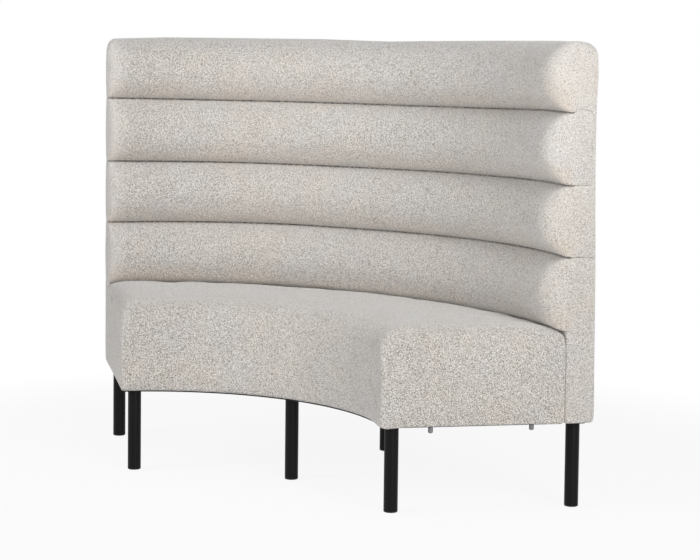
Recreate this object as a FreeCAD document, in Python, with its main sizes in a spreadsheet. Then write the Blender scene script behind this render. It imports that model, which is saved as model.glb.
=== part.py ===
import FreeCAD, Part
import math
import os
from FreeCAD import Placement, Rotation, Vector
from Sketcher import Constraint

# A curved banquette bench: a quarter ring of seat with a channelled back behind it, on six tube legs.
# Every curved piece turns about one upright line, the arc's axis, which stands in front of the bench.
# Lengths are in millimetres and angles in degrees.

SIZES = {
    # The bench in plan, measured from the arc's axis, and its heights above the floor
    "sweep_angle": 90,
    "front_radius": 575,
    "outer_radius": 1110,
    "overall_height": 1150,
    "underside_height": 214,
    "seat_height": 459,
    # Covers
    "cover_thickness": 2,
    "hem_width": 17.5,
    "hem_bend": 17,
    "end_bend": 16,
    "lining_thickness": 1,
    # Clearances
    "fit_gap": 0.3,
    "cut_overrun": 5,
    # Seat
    "seat_front_bend": 45,
    "seat_rear_bend": 25,
    "seat_crown_angle": 4,
    "seat_foam_depth": 110,
    "deck_thickness": 12,
    "frame_inset": 10,
    "end_inset": 8,
    "rail_thickness": 18,
    "cross_rail_rise": 55,
    "leg_block_length": 60,
    "leg_block_width": 60,
    "leg_block_height": 40,
    # Back
    "back_depth": 75,
    "lowest_seam_drop": 9,
    "back_top_bend": 30,
    "front_panel_setback": 7,
    "front_panel_thickness": 5,
    "rear_panel_thickness": 4,
    "rear_wadding_depth": 7.4,
    "top_foam_depth": 32,
    "rib_thickness": 18,
    "bottom_rail_height": 30,
    "top_rail_height": 18,
    "middle_rail_height": 40,
    "middle_rail_rise": 474,
    "joining_rail_height": 60,
    "joining_rail_rise": 54,
    "let_in_depth": 24,
    # Legs
    "leg_diameter": 35,
    "leg_wall": 2,
    "leg_inset": 37.5,
    "leg_disc_thickness": 4,
    "leg_stud_length": 26,
    "glide_thickness": 3,
    "glide_plug_depth": 14,
    # Joining hardware
    "bolt_diameter": 8,
    "bolt_head_diameter": 18,
    "bolt_head_height": 4,
    "bolt_length": 60,
    "insert_diameter": 12,
    "insert_length": 18,
    "pin_diameter": 12,
    "pin_drop": 18,
    "pin_shoulder_drop": 1,
    "pin_tip_bevel": 2,
    "pin_shank_diameter": 10,
    "pin_shank_length": 40,
    "front_pin_setback": 130,
    "rear_pin_setback": 147,
}


class Size:
    """A size with its value and the formula that ties it to the sheet."""

    def __init__(self, value, formula):
        self.value = value
        self.formula = formula

    def __add__(self, other):
        return Size(self.value + value_of(other), f"({self.formula} + {formula_of(other)})")

    def __sub__(self, other):
        return Size(self.value - value_of(other), f"({self.formula} - {formula_of(other)})")

    def __mul__(self, other):
        return Size(self.value * value_of(other), f"({self.formula} * {formula_of(other)})")

    def __truediv__(self, other):
        return Size(self.value / value_of(other), f"({self.formula} / {formula_of(other)})")

    def __neg__(self):
        return Size(-self.value, f"(0 - {self.formula})")

    def sqrt(self):
        return Size(math.sqrt(self.value), f"sqrt({self.formula})")

    def sin(self):
        return Size(math.sin(math.radians(self.value)), f"sin({self.formula})")

    def cos(self):
        return Size(math.cos(math.radians(self.value)), f"cos({self.formula})")


def value_of(size):
    return size.value if isinstance(size, Size) else size


def formula_of(size):
    return size.formula if isinstance(size, Size) else str(size)


def arc_angle(length, radius):
    """The angle, in degrees, that a length takes along an arc of this radius."""
    return Size(
        math.degrees(length.value / radius.value),
        f"({length.formula} / {radius.formula} * 180 / pi)",
    )


doc = FreeCAD.newDocument("Banquette")
sheet = doc.addObject("Spreadsheet::Sheet", "Sizes")
for row, (alias, number) in enumerate(SIZES.items(), 1):
    sheet.set(f"A{row}", alias)
    sheet.set(f"B{row}", str(number))
    sheet.setAlias(f"B{row}", alias)
doc.recompute()


class Named:
    """The driving sizes of the sheet, each under its own name."""


nothing = Size(0, "0")
size = Named()
for alias in SIZES:
    setattr(size, alias, Size(float(sheet.get(alias)), f"Sizes.{alias}"))

nodes = {}
CLOSE_ENOUGH = 0.001
# The stuffed channels of the back, counted down from the top one
CHANNELS = ("upper", "lower", "bottom")
CHANNEL_COUNT = len(CHANNELS) + 1
# How far a channel stands out, as a share of its pitch, and the front bend of the top one, as a share
# of the flat it could take up
ROLL_CROWN_SHARE = 12 / 35
TOP_BEND_SHARE = 5 / 6


def own_plane(body, role):
    return [plane for plane in body.Origin.OriginFeatures if plane.Role == role][0]


def bind(target, path, length):
    """Set one number of an object and tie it to its formula."""
    target.setExpression(path, formula_of(length))


def settle(target, turn=None, shifted=True):
    """Put a piece at its place: turned about the arc's axis, with the bench's middle at the origin."""
    angle = -turn if turn else nothing
    shift = -axis_setback if shifted else nothing
    target.Placement = Placement(Vector(0, shift.value, 0), Rotation(Vector(0, 0, 1), angle.value))
    if shifted:
        bind(target, "Placement.Base.y", shift)
    if turn:
        bind(target, "Placement.Rotation.Angle", angle)


def new_body(label, turn=None, kept=True):
    """Start a body; a kept one is a piece of the bench, and the rest are blanks and cutting shapes."""
    body = doc.addObject("PartDesign::Body", label)
    body.Label = label
    settle(body, turn, shifted=kept)
    if kept:
        nodes[label] = body
    return body


def hold(sketch, edge, end, axis, size_from_origin):
    """Hold one end of an edge at a distance from the sketch's origin along X or Y."""
    if size_from_origin.value >= 0:
        index = sketch.addConstraint(Constraint(axis, -1, 1, edge, end, size_from_origin.value))
        sketch.setExpression(f"Constraints[{index}]", size_from_origin.formula)
    else:
        opposite = -size_from_origin
        index = sketch.addConstraint(Constraint(axis, edge, end, -1, 1, opposite.value))
        sketch.setExpression(f"Constraints[{index}]", opposite.formula)


def new_sketch(body, role, lift=None):
    """Start a sketch on one of the body's own planes, or on that plane lifted by a size."""
    sketch = body.newObject("Sketcher::SketchObject", body.Name + "_outline")
    sketch.AttachmentSupport = (own_plane(body, role), [""])
    sketch.MapMode = "FlatFace"
    if lift:
        sketch.AttachmentOffset = Placement(Vector(0, 0, lift.value), Rotation())
        bind(sketch, "AttachmentOffset.Base.z", lift)
    return sketch


def arc_middle(first, last, bend):
    """The point halfway round an arc of under a half circle, bowed out to the right of its run."""
    chord = last - first
    rise = abs(bend) - math.sqrt(bend * bend - chord.Length * chord.Length / 4)
    side = Vector(chord.y, -chord.x, 0).normalize()
    return (first + last) * 0.5 + side * math.copysign(rise, bend)


def outline(body, corners, role="YZ_Plane", lift=None):
    """Draw a closed outline, anticlockwise. A corner is (across, up), or (across, up, bend) where an
    arc of that radius leads to the next corner: it bows outwards, or inwards where bend is negative."""
    sketch = new_sketch(body, role, lift)
    points = [Vector(corner[0].value, corner[1].value, 0) for corner in corners]
    starts = []
    for index, corner in enumerate(corners):
        first = points[index]
        last = points[(index + 1) % len(corners)]
        if len(corner) == 3:
            edge = Part.Arc(first, arc_middle(first, last, corner[2].value), last)
        else:
            edge = Part.LineSegment(first, last)
        sketch.addGeometry(edge)
        runs_on = sketch.getPoint(index, 1).isEqual(first, CLOSE_ENOUGH)
        starts.append(1 if runs_on else 2)
    for index, corner in enumerate(corners):
        following = (index + 1) % len(corners)
        end = 1 if starts[index] == 2 else 2
        sketch.addConstraint(Constraint("Coincident", index, end, following, starts[following]))
    for index, corner in enumerate(corners):
        hold(sketch, index, starts[index], "DistanceX", corner[0])
        hold(sketch, index, starts[index], "DistanceY", corner[1])
        if len(corner) == 3:
            bend = corner[2] if corner[2].value > 0 else -corner[2]
            number = sketch.addConstraint(Constraint("Radius", index, bend.value))
            sketch.setExpression(f"Constraints[{number}]", bend.formula)
    return sketch


def rectangle(low_across, high_across, low_up, high_up):
    return [(low_across, low_up), (high_across, low_up), (high_across, high_up), (low_across, high_up)]


def ring(label, corners, sweep, turn=None, kept=True):
    """A piece with one section all along the arc: the outline turned about the arc's axis."""
    body = new_body(label, turn, kept)
    sketch = outline(body, corners)
    turned = body.newObject("PartDesign::Revolution", label + "_sweep")
    turned.Profile = sketch
    turned.ReferenceAxis = (sketch, ["V_Axis"])
    turned.Midplane = True
    turned.Angle = sweep.value
    bind(turned, "Angle", sweep)
    return body


def board(label, corners, thickness, turn, kept=True):
    """A flat upright board that lies along a radius."""
    body = new_body(label, turn, kept)
    pad = body.newObject("PartDesign::Pad", label + "_board")
    pad.Profile = outline(body, corners)
    pad.SideType = "Symmetric"
    bind(pad, "Length", thickness)
    return body


def soften_ends(body, sweep, bend, above, beyond=None, short_of=None):
    """Round the edges where a ring's faces meet its two ends, one end after the other: those above a
    height, and between two radii where these are given."""
    for hand in (-1, 1):
        doc.recompute()
        base = body.Tip
        end_angle = hand * sweep.value / 2
        names = []
        for index, edge in enumerate(base.Shape.Edges, 1):
            middle = edge.valueAt((edge.FirstParameter + edge.LastParameter) / 2)
            points = [edge.firstVertex().Point, middle, edge.lastVertex().Point]
            turns = [math.degrees(math.atan2(point.x, point.y)) for point in points]
            on_end = all(math.isclose(turn, end_angle, abs_tol=CLOSE_ENOUGH) for turn in turns)
            radius = math.hypot(middle.x, middle.y)
            far_enough = beyond is None or radius > beyond.value
            near_enough = short_of is None or radius < short_of.value - CLOSE_ENOUGH
            if on_end and middle.z > above.value and far_enough and near_enough:
                names.append(f"Edge{index}")
        rounding = body.newObject("PartDesign::Fillet", body.Name + "_rounding")
        rounding.Base = (base, names)
        bind(rounding, "Radius", bend)
        body.Tip = rounding


def joined(label, forms):
    """One shape made of several forms that run into each other."""
    union = doc.addObject("Part::MultiFuse", label)
    union.Shapes = forms
    return union


def cut_piece(label, blank, cutters):
    """A piece made by cutting shapes out of a blank, one after another."""
    remaining = blank
    for index, cutter in enumerate(cutters):
        cut = doc.addObject("Part::Cut", f"{label}_cut_{index}")
        cut.Base = remaining
        cut.Tool = cutter
        remaining = cut
    settle(remaining)
    remaining.Label = label
    nodes[label] = remaining
    return remaining


def loose_shape(label, shape, kept=True):
    """A group of like solids, or the holes for them, worked out from the sheet's values."""
    feature = doc.addObject("Part::Feature", label)
    feature.Label = label
    feature.Shape = shape
    if kept:
        settle(feature)
        nodes[label] = feature
    return feature


def at_radius(shape, radius, angle, height=0.0):
    """Carry a shape out to a radius and a height, and turn it about the arc's axis."""
    carried = shape.copy()
    carried.translate(Vector(0, radius, height))
    carried.rotate(Vector(), Vector(0, 0, 1), -angle)
    return carried


half_sweep = size.sweep_angle / 2
corner_radius = size.front_radius + size.end_bend
corner_reach = (corner_radius * corner_radius - size.end_bend * size.end_bend).sqrt()
front_corner = corner_reach * half_sweep.cos() + size.end_bend * half_sweep.sin() - size.end_bend
axis_setback = (front_corner + size.outer_radius) / 2
gap = size.fit_gap
cover = size.cover_thickness

# Heights and radii that several pieces share
seam_radius = size.outer_radius - size.back_depth
frame_bottom = size.underside_height + cover + gap
deck_top = size.seat_height - cover - gap - size.seat_foam_depth
rail_top = deck_top - size.deck_thickness
rail_front = size.front_radius + size.frame_inset
seat_rear = seam_radius - gap
rear_rail_rear = seat_rear - cover - gap
rear_rail_front = rear_rail_rear - size.rail_thickness
front_rail_rear = rail_front + size.rail_thickness
panel_front = seam_radius + size.front_panel_setback
panel_rear = panel_front + size.front_panel_thickness
rear_panel_rear = size.outer_radius - cover - gap - size.rear_wadding_depth - gap
rear_panel_front = rear_panel_rear - size.rear_panel_thickness
frame_front = panel_rear + gap
frame_rear = rear_panel_front - gap
frame_top = size.overall_height - size.top_foam_depth
lowest_seam = size.seat_height - size.lowest_seam_drop
roll_pitch = (size.overall_height - lowest_seam) / CHANNEL_COUNT
roll_crown = roll_pitch * ROLL_CROWN_SHARE
roll_middle_radius = seam_radius - roll_crown
half_roll = roll_pitch / 2
roll_bend = (half_roll * half_roll + roll_crown * roll_crown) / (roll_crown * 2)
top_bend = (size.outer_radius - size.back_top_bend - roll_middle_radius) * TOP_BEND_SHARE
top_half_roll = roll_pitch - top_bend
top_roll_bend = (top_half_roll * top_half_roll + roll_crown * roll_crown) / (roll_crown * 2)
top_roll_centre = roll_middle_radius + top_roll_bend
roll_centre = roll_middle_radius + roll_bend
joining_rail_bottom = frame_bottom + size.joining_rail_rise
joining_rail_top = joining_rail_bottom + size.joining_rail_height
middle_rail_bottom = frame_bottom + size.middle_rail_rise
middle_rail_top = middle_rail_bottom + size.middle_rail_height

seat_wall_angle = arc_angle(cover, size.front_radius)
back_wall_angle = arc_angle(cover, roll_middle_radius)
seat_inner_sweep = size.sweep_angle - seat_wall_angle * 2
back_inner_sweep = size.sweep_angle - back_wall_angle * 2
seat_foam_sweep = seat_inner_sweep - arc_angle(gap, size.front_radius) * 2
back_foam_sweep = back_inner_sweep - arc_angle(gap, roll_middle_radius) * 2
seat_frame_sweep = size.sweep_angle - arc_angle(size.end_inset, rail_front) * 2
back_frame_sweep = size.sweep_angle - arc_angle(size.end_inset, frame_front) * 2

front_leg_radius = size.front_radius + size.leg_inset
rear_leg_radius = size.outer_radius - size.leg_inset
front_leg_angle = half_sweep - arc_angle(size.leg_inset, front_leg_radius)
rear_leg_angle = half_sweep - arc_angle(size.leg_inset, rear_leg_radius)
SIDES = {"left": -1, "middle": 0, "right": 1}


def seat_section(inset, front_bend, rear_bend):
    """The seat's front, crowned top and rear shoulder, from its lowest front point to its lowest rear
    point, drawn in by an inset all round. The two shoulders run smoothly into the crown's arc."""
    tilt = size.seat_crown_angle
    front = size.front_radius + inset
    rear = seat_rear - inset
    shoulder = size.seat_height - inset
    front_centre = shoulder - front_bend * tilt.cos()
    rear_centre = shoulder - rear_bend * tilt.cos()
    crown_front = front + front_bend - front_bend * tilt.sin()
    crown_rear = rear - rear_bend + rear_bend * tilt.sin()
    crown_bend = (crown_rear - crown_front) / (tilt.sin() * 2)
    return [
        (rear, rear_centre, rear_bend),
        (crown_rear, shoulder, crown_bend),
        (crown_front, shoulder, front_bend),
        (front, front_centre),
    ]


# Seat cover: one skin over the front, the crown, the rear shoulder and the two ends, hemmed below
low = size.underside_height
hem_inner = size.front_radius + size.hem_width
seat_outer = ring(
    "seat_cover_outer",
    [(size.front_radius + size.hem_bend, low), (seat_rear, low)]
    + seat_section(nothing, size.seat_front_bend, size.seat_rear_bend)
    + [(size.front_radius, low + size.hem_bend, size.hem_bend)],
    size.sweep_angle,
    kept=False,
)
soften_ends(seat_outer, size.sweep_angle, size.end_bend, low + size.hem_bend)
inner_bend = size.hem_bend - cover
seat_inner = ring(
    "seat_cover_inner",
    [
        (size.front_radius + size.hem_bend, low + cover),
        (hem_inner, low + cover),
        (hem_inner, low - size.cut_overrun),
        (seat_rear - cover, low - size.cut_overrun),
    ]
    + seat_section(cover, size.seat_front_bend - cover, size.seat_rear_bend - cover)
    + [(size.front_radius + cover, low + size.hem_bend, inner_bend)],
    seat_inner_sweep,
    kept=False,
)
soften_ends(seat_inner, seat_inner_sweep, size.end_bend - cover, low + size.hem_bend)

# Seat foam: one crowned block on the deck, whose front hangs down to the rail's wadding
inset = cover + gap
seat_foam = ring(
    "seat_foam",
    [(size.front_radius + inset, deck_top + gap), (seat_rear - inset, deck_top + gap)]
    + seat_section(inset, size.seat_front_bend - inset, size.seat_rear_bend - inset),
    seat_foam_sweep,
)
soften_ends(seat_foam, seat_foam_sweep, size.end_bend - inset, deck_top + gap)

# Wadding round the seat frame, which leaves the two rounded front corners free
ring(
    "seat_front_wadding",
    rectangle(size.front_radius + inset, rail_front - gap, low + size.hem_bend, deck_top),
    size.sweep_angle - arc_angle(size.end_bend, size.front_radius) * 2,
)
seat_end_angle = arc_angle(size.end_inset, rail_front)
end_wadding_sweep = seat_end_angle - arc_angle(inset + gap, rail_front)
end_wadding_turn = half_sweep - seat_end_angle / 2 - arc_angle(inset, rail_front) / 2
for side in ("left", "right"):
    ring(
        f"seat_end_wadding_{side}",
        rectangle(corner_radius, rear_rail_rear, frame_bottom, deck_top),
        end_wadding_sweep,
        turn=end_wadding_turn * SIDES[side],
    )

# Seat frame: bent rails, straight rails between them, corner blocks and the deck
ring("seat_deck", rectangle(rail_front, rear_rail_rear, rail_top, deck_top), seat_frame_sweep)
ring(
    "seat_front_rail",
    rectangle(rail_front, front_rail_rear, frame_bottom, rail_top),
    seat_frame_sweep,
)
seat_rear_rail = ring(
    "seat_rear_rail_blank",
    rectangle(rear_rail_front, rear_rail_rear, frame_bottom, rail_top),
    seat_frame_sweep,
    kept=False,
)
end_rail_turn = half_sweep - arc_angle(size.end_inset + size.rail_thickness / 2, front_rail_rear)
seat_end_rails = {}
for side in ("left", "right"):
    seat_end_rails[side] = board(
        f"seat_end_rail_{side}_blank",
        rectangle(front_rail_rear + gap, rear_rail_front - gap, frame_bottom, rail_top),
        size.rail_thickness,
        end_rail_turn * SIDES[side],
        kept=False,
    )
    board(
        f"seat_cross_rail_{side}",
        rectangle(
            front_rail_rear + gap, rear_rail_front - gap, frame_bottom + size.cross_rail_rise, rail_top
        ),
        size.rail_thickness,
        half_sweep / 3 * SIDES[side],
    )

# Leg blocks behind the front rail; an end block stops at its end rail
block_rear = front_rail_rear + gap + size.leg_block_length
end_block_outer = size.end_inset + size.rail_thickness + gap * 2
end_block_inner = size.leg_inset + size.leg_block_width / 2
end_block_turn = half_sweep - arc_angle((end_block_outer + end_block_inner) / 2, front_rail_rear)
leg_blocks = {}
for side, hand in SIDES.items():
    leg_blocks[side] = board(
        f"seat_leg_block_{side}_blank",
        rectangle(
            front_rail_rear + gap, block_rear, frame_bottom, frame_bottom + size.leg_block_height
        ),
        end_block_inner - end_block_outer if hand else size.leg_block_width,
        end_block_turn * hand if hand else None,
        kept=False,
    )

# Linings under the seat and the back
lining_bottom = frame_bottom - size.lining_thickness
seat_lining = ring(
    "seat_lining_blank",
    rectangle(hem_inner + gap, rear_rail_rear, lining_bottom, frame_bottom),
    seat_foam_sweep,
    kept=False,
)
back_hem_front = seam_radius + size.hem_width
back_hem_rear = size.outer_radius - size.hem_width
back_lining = ring(
    "back_lining_blank",
    rectangle(back_hem_front + gap, back_hem_rear - gap, lining_bottom, frame_bottom),
    back_foam_sweep,
    kept=False,
)


crest = size.overall_height - top_bend
channel_crest = size.overall_height - half_roll
quarter_centre = roll_middle_radius + top_bend
top_seam = size.overall_height - roll_pitch


def channel_section(place, inset, rear):
    """One stuffed channel below the top one: a flat rear and one arc over the front."""
    bend = roll_bend - inset
    reach = roll_centre - rear
    half = (bend * bend - reach * reach).sqrt()
    middle = channel_crest - roll_pitch * place
    return [(rear, middle - half), (rear, middle + half, bend)]


def top_channel_section(inset, rear):
    """The top channel: the same arc up to its crest, and a quarter circle from there to its rear."""
    bend = top_roll_bend - inset
    quarter = top_bend - inset
    reach = top_roll_centre - rear
    over = quarter_centre - rear
    return [
        (rear, crest - (bend * bend - reach * reach).sqrt()),
        (rear, crest + (quarter * quarter - over * over).sqrt(), quarter),
        (roll_middle_radius + inset, crest, bend),
    ]


def board_section(inset, foot):
    """The flat part of the back behind its channels, drawn in by an inset, with its foot's corners."""
    rear = size.outer_radius - inset
    return foot + [
        (rear, size.overall_height - size.back_top_bend, size.back_top_bend - inset),
        (size.outer_radius - size.back_top_bend, size.overall_height - inset),
        (quarter_centre, size.overall_height - inset),
        (quarter_centre, top_seam),
    ]


def back_form(prefix, inset, sweep, board_corners, channel_rear):
    """The back as five soft-ended forms: its flat board and the four channels in front of it."""
    form = ring(f"{prefix}_board", board_corners, sweep, kept=False)
    forms = [form, ring(f"{prefix}_top", top_channel_section(inset, quarter_centre), sweep, kept=False)]
    for place, name in enumerate(CHANNELS, 1):
        section = channel_section(place, inset, channel_rear)
        forms.append(ring(f"{prefix}_{name}", section, sweep, kept=False))
    bend = size.end_bend - inset
    soften_ends(form, sweep, bend, low + size.hem_bend, beyond=quarter_centre)
    soften_ends(forms[1], sweep, bend, low, short_of=quarter_centre)
    for form in forms[2:]:
        soften_ends(form, sweep, bend, low, short_of=channel_rear)
    return forms


# Back cover: the channelled front with its ends and top, in one skin, open behind for the rear panel
rear = size.outer_radius
top = size.overall_height
inset = cover + gap
outer_foot = [
    (seam_radius, top_seam),
    (seam_radius, low),
    (rear - size.hem_bend, low, size.hem_bend),
    (rear, low + size.hem_bend),
]
outer_forms = back_form(
    "back_outer", nothing, size.sweep_angle, board_section(nothing, outer_foot), seam_radius + cover
)
back_outer = joined("back_outer", outer_forms)
cavity_front = panel_front - gap * 2
seam_step = lowest_seam - cover
inner_foot = [
    (cavity_front, top_seam),
    (cavity_front, seam_step),
    (seam_radius + cover, seam_step),
    (seam_radius + cover, low + cover),
    (back_hem_front, low + cover),
    (back_hem_front, low - size.cut_overrun),
    (rear - cover, low - size.cut_overrun),
]
inner_forms = back_form(
    "back_inner", cover, back_inner_sweep, board_section(cover, inner_foot), panel_front
)
back_inner = joined("back_inner", inner_forms)
rear_sweep = size.sweep_angle - arc_angle(size.end_bend + gap, size.outer_radius) * 2
rear_window = ring(
    "back_cover_window",
    rectangle(
        rear - cover - size.cut_overrun,
        rear + size.cut_overrun,
        low - size.cut_overrun,
        top - size.back_top_bend,
    ),
    rear_sweep,
    kept=False,
)
ring(
    "back_rear_cover",
    [
        (back_hem_rear, low),
        (rear - size.hem_bend, low, size.hem_bend),
        (rear, low + size.hem_bend),
        (rear, top - size.back_top_bend - gap),
        (rear - cover, top - size.back_top_bend - gap),
        (rear - cover, low + size.hem_bend, cover - size.hem_bend),
        (rear - size.hem_bend, low + cover),
        (back_hem_rear, low + cover),
    ],
    rear_sweep - arc_angle(gap, size.outer_radius) * 2,
)

# Foam in the channels: the top one, three alike, and the pad over the top rail
pad_rear = panel_front - gap
pads = [ring("back_channel_pad_top", top_channel_section(inset, pad_rear), back_foam_sweep)]
for place, name in enumerate(CHANNELS, 1):
    section = channel_section(place, inset, pad_rear)
    pads.append(ring(f"back_channel_pad_{name}", section, back_foam_sweep))
for pad in pads:
    soften_ends(pad, back_foam_sweep, size.end_bend - inset, low, short_of=pad_rear)
top_quarter = top_bend - inset
capping_front = pad_rear + gap * 2
capping_reach = quarter_centre - capping_front
capping_rear = rear - inset
ring(
    "back_top_foam",
    [
        (capping_front, frame_top + gap),
        (capping_rear, frame_top + gap),
        (capping_rear, top - size.back_top_bend, size.back_top_bend - inset),
        (rear - size.back_top_bend, top - inset),
        (quarter_centre, top - inset, top_quarter),
        (
            capping_front,
            crest + (top_quarter * top_quarter - capping_reach * capping_reach).sqrt(),
        ),
    ],
    back_frame_sweep,
)

# Wadding behind the rear panel and at the back's two ends
ring(
    "back_rear_wadding",
    rectangle(rear_panel_rear + gap, capping_rear, low + size.hem_bend, frame_top),
    back_frame_sweep,
)
back_end_angle = arc_angle(size.end_inset, frame_front)
back_end_inset = cover + cover / 2 + gap
back_end_sweep = back_end_angle - arc_angle(back_end_inset + gap, frame_front)
back_end_turn = half_sweep - back_end_angle / 2 - arc_angle(back_end_inset, frame_front) / 2
for side in ("left", "right"):
    ring(
        f"back_end_wadding_{side}",
        rectangle(panel_front, rear - size.end_bend, frame_bottom, frame_top),
        back_end_sweep,
        turn=back_end_turn * SIDES[side],
    )

# Back frame: two bent panels, four bent rails and five ribs that the middle rails are let into
front_panel = ring(
    "back_front_panel_blank",
    rectangle(panel_front, panel_rear, frame_bottom, frame_top),
    back_frame_sweep,
    kept=False,
)
ring(
    "back_rear_panel",
    rectangle(rear_panel_front, rear_panel_rear, frame_bottom, frame_top),
    back_frame_sweep,
)
bottom_rail = ring(
    "back_bottom_rail_blank",
    rectangle(frame_front, frame_rear, frame_bottom, frame_bottom + size.bottom_rail_height),
    back_frame_sweep,
    kept=False,
)
ring(
    "back_top_rail",
    rectangle(frame_front, frame_rear, frame_top - size.top_rail_height, frame_top),
    back_frame_sweep,
)
let_in_rear = frame_front + size.let_in_depth
joining_rail = ring(
    "back_joining_rail_blank",
    rectangle(frame_front, let_in_rear, joining_rail_bottom, joining_rail_top),
    back_frame_sweep,
    kept=False,
)
ring(
    "back_middle_rail",
    rectangle(frame_front, let_in_rear, middle_rail_bottom, middle_rail_top),
    back_frame_sweep,
)
rib_bottom = frame_bottom + size.bottom_rail_height
rib_top = frame_top - size.top_rail_height
notch_rear = let_in_rear + gap
joining_low = joining_rail_bottom - gap
joining_high = joining_rail_top + gap
middle_low = middle_rail_bottom - gap
middle_high = middle_rail_top + gap
rib_corners = [
    (frame_front, rib_bottom),
    (frame_rear, rib_bottom),
    (frame_rear, rib_top),
    (frame_front, rib_top),
    (frame_front, middle_high),
    (notch_rear, middle_high),
    (notch_rear, middle_low),
    (frame_front, middle_low),
    (frame_front, joining_high),
    (notch_rear, joining_high),
    (notch_rear, joining_low),
    (frame_front, joining_low),
]
end_rib_turn = half_sweep - arc_angle(size.end_inset + size.rib_thickness / 2, frame_front)
for side, hand in SIDES.items():
    board(
        f"back_rib_{side}",
        rib_corners,
        size.rib_thickness,
        end_rib_turn * hand / 2 if hand else None,
    )
    if hand:
        board(f"back_end_rib_{side}", rib_corners, size.rib_thickness, end_rib_turn * hand)


# Legs: a tube closed by a disc with a threaded stud on it, and a glide pressed into the foot
tube_radius = size.leg_diameter / 2
bore_radius = tube_radius - size.leg_wall
disc_bottom = lining_bottom - size.leg_disc_thickness
LEGS = {
    f"{row}_{side}": (radius, angle * hand if hand else None)
    for row, radius, angle in (
        ("front", front_leg_radius, front_leg_angle),
        ("rear", rear_leg_radius, rear_leg_angle),
    )
    for side, hand in SIDES.items()
}


def circle(sketch, radius, centre_radius):
    """Draw a circle on the leg's centre line, as far from the arc's axis as the leg is."""
    centre = Vector(0, centre_radius.value, 0)
    edge = sketch.addGeometry(Part.Circle(centre, Vector(0, 0, 1), radius.value))
    sketch.addConstraint(Constraint("PointOnObject", edge, 3, -2))
    hold(sketch, edge, 3, "DistanceY", centre_radius)
    index = sketch.addConstraint(Constraint("Radius", edge, radius.value))
    sketch.setExpression(f"Constraints[{index}]", radius.formula)


def pad_up(body, sketch, length, name):
    pad = body.newObject("PartDesign::Pad", f"{body.Name}_{name}")
    pad.Profile = sketch
    bind(pad, "Length", length)
    return pad


def round_sketch(body, radii, centre_radius, lift=None):
    sketch = new_sketch(body, "XY_Plane", lift)
    for radius in radii:
        circle(sketch, radius, centre_radius)
    return sketch


for name, (radius, turn) in LEGS.items():
    leg = new_body(f"leg_{name}", turn)
    tube = round_sketch(leg, [tube_radius, bore_radius], radius, lift=size.glide_thickness)
    pad_up(leg, tube, disc_bottom - size.glide_thickness, "tube")
    disc = round_sketch(leg, [tube_radius], radius, lift=disc_bottom)
    pad_up(leg, disc, size.leg_disc_thickness, "disc")
    stud = round_sketch(leg, [size.bolt_diameter / 2], radius, lift=lining_bottom)
    pad_up(leg, stud, size.leg_stud_length, "stud")

    glide = new_body(f"glide_{name}", turn)
    pad_up(glide, round_sketch(glide, [tube_radius], radius), size.glide_thickness, "foot")
    plug = round_sketch(glide, [bore_radius - gap], radius, lift=size.glide_thickness)
    pad_up(glide, plug, size.glide_plug_depth, "plug")


# Threaded inserts: one for each leg's stud, and one for each bolt between the seat and the back
clear = gap.value
bolt_radius = size.bolt_diameter.value / 2
bolt_hole_radius = bolt_radius + clear
insert_radius = size.insert_diameter.value / 2
insert_length = size.insert_length.value
insert_shape = Part.makeCylinder(insert_radius, insert_length)
insert_shape = insert_shape.cut(Part.makeCylinder(bolt_hole_radius, insert_length))
insert_hole = Part.makeCylinder(insert_radius + clear / 2, insert_length + clear)
stud_hole = Part.makeCylinder(bolt_hole_radius, size.leg_stud_length.value + clear * 2)


def at_legs(shape, height):
    """A copy of an upright shape over each leg, its foot at a height."""
    return Part.makeCompound(
        [
            at_radius(shape, radius.value, turn.value if turn else 0.0, height)
            for radius, turn in LEGS.values()
        ]
    )


loose_shape("leg_inserts", at_legs(insert_shape, frame_bottom.value))
stud_holes = loose_shape("stud_holes", at_legs(stud_hole, lining_bottom.value - clear), kept=False)
leg_insert_holes = loose_shape("leg_insert_holes", at_legs(insert_hole, frame_bottom.value), kept=False)
for side, blank in leg_blocks.items():
    cut_piece(f"seat_leg_block_{side}", blank, [stud_holes, leg_insert_holes])
cut_piece("back_bottom_rail", bottom_rail, [stud_holes, leg_insert_holes])
cut_piece("back_lining", back_lining, [stud_holes])

# Link pins that stand down from the end rails, for the plate that ties two benches together. Each has a
# thinner shank in its rail and a shoulder just under the lining
front_pin_radius = size.front_radius + size.front_pin_setback
rear_pin_radius = size.outer_radius - size.rear_pin_setback
pin_radius = size.pin_diameter.value / 2
pin_length = size.pin_drop.value - size.pin_shoulder_drop.value
pin_bottom = low.value - size.pin_drop.value
shank_radius = size.pin_shank_diameter.value / 2
shank_length = size.pin_shank_length.value
pin_shape = Part.makeCylinder(pin_radius, pin_length)
bevel = size.pin_tip_bevel.value
pin_tip = [edge for edge in pin_shape.Edges if edge.BoundBox.ZMax < bevel]
pin_shape = pin_shape.makeChamfer(bevel, pin_tip)
shank = Part.makeCylinder(shank_radius, shank_length)
shank.translate(Vector(0, 0, pin_length))
pin_shape = pin_shape.fuse(shank)
pin_hole = Part.makeCylinder(shank_radius + clear / 2, pin_length + shank_length + clear)
pin_hole_shapes = []
for side in ("left", "right"):
    angle = end_rail_turn.value * SIDES[side]
    pins = []
    for place in (front_pin_radius.value, rear_pin_radius.value):
        pins.append(at_radius(pin_shape, place, angle, pin_bottom))
        pin_hole_shapes.append(at_radius(pin_hole, place, angle, pin_bottom))
    loose_shape(f"link_pins_{side}", Part.makeCompound(pins))
pin_holes = loose_shape("pin_holes", Part.makeCompound(pin_hole_shapes), kept=False)
for side, blank in seat_end_rails.items():
    cut_piece(f"seat_end_rail_{side}", blank, [pin_holes])
cut_piece("seat_lining", seat_lining, [stud_holes, pin_holes])


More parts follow.
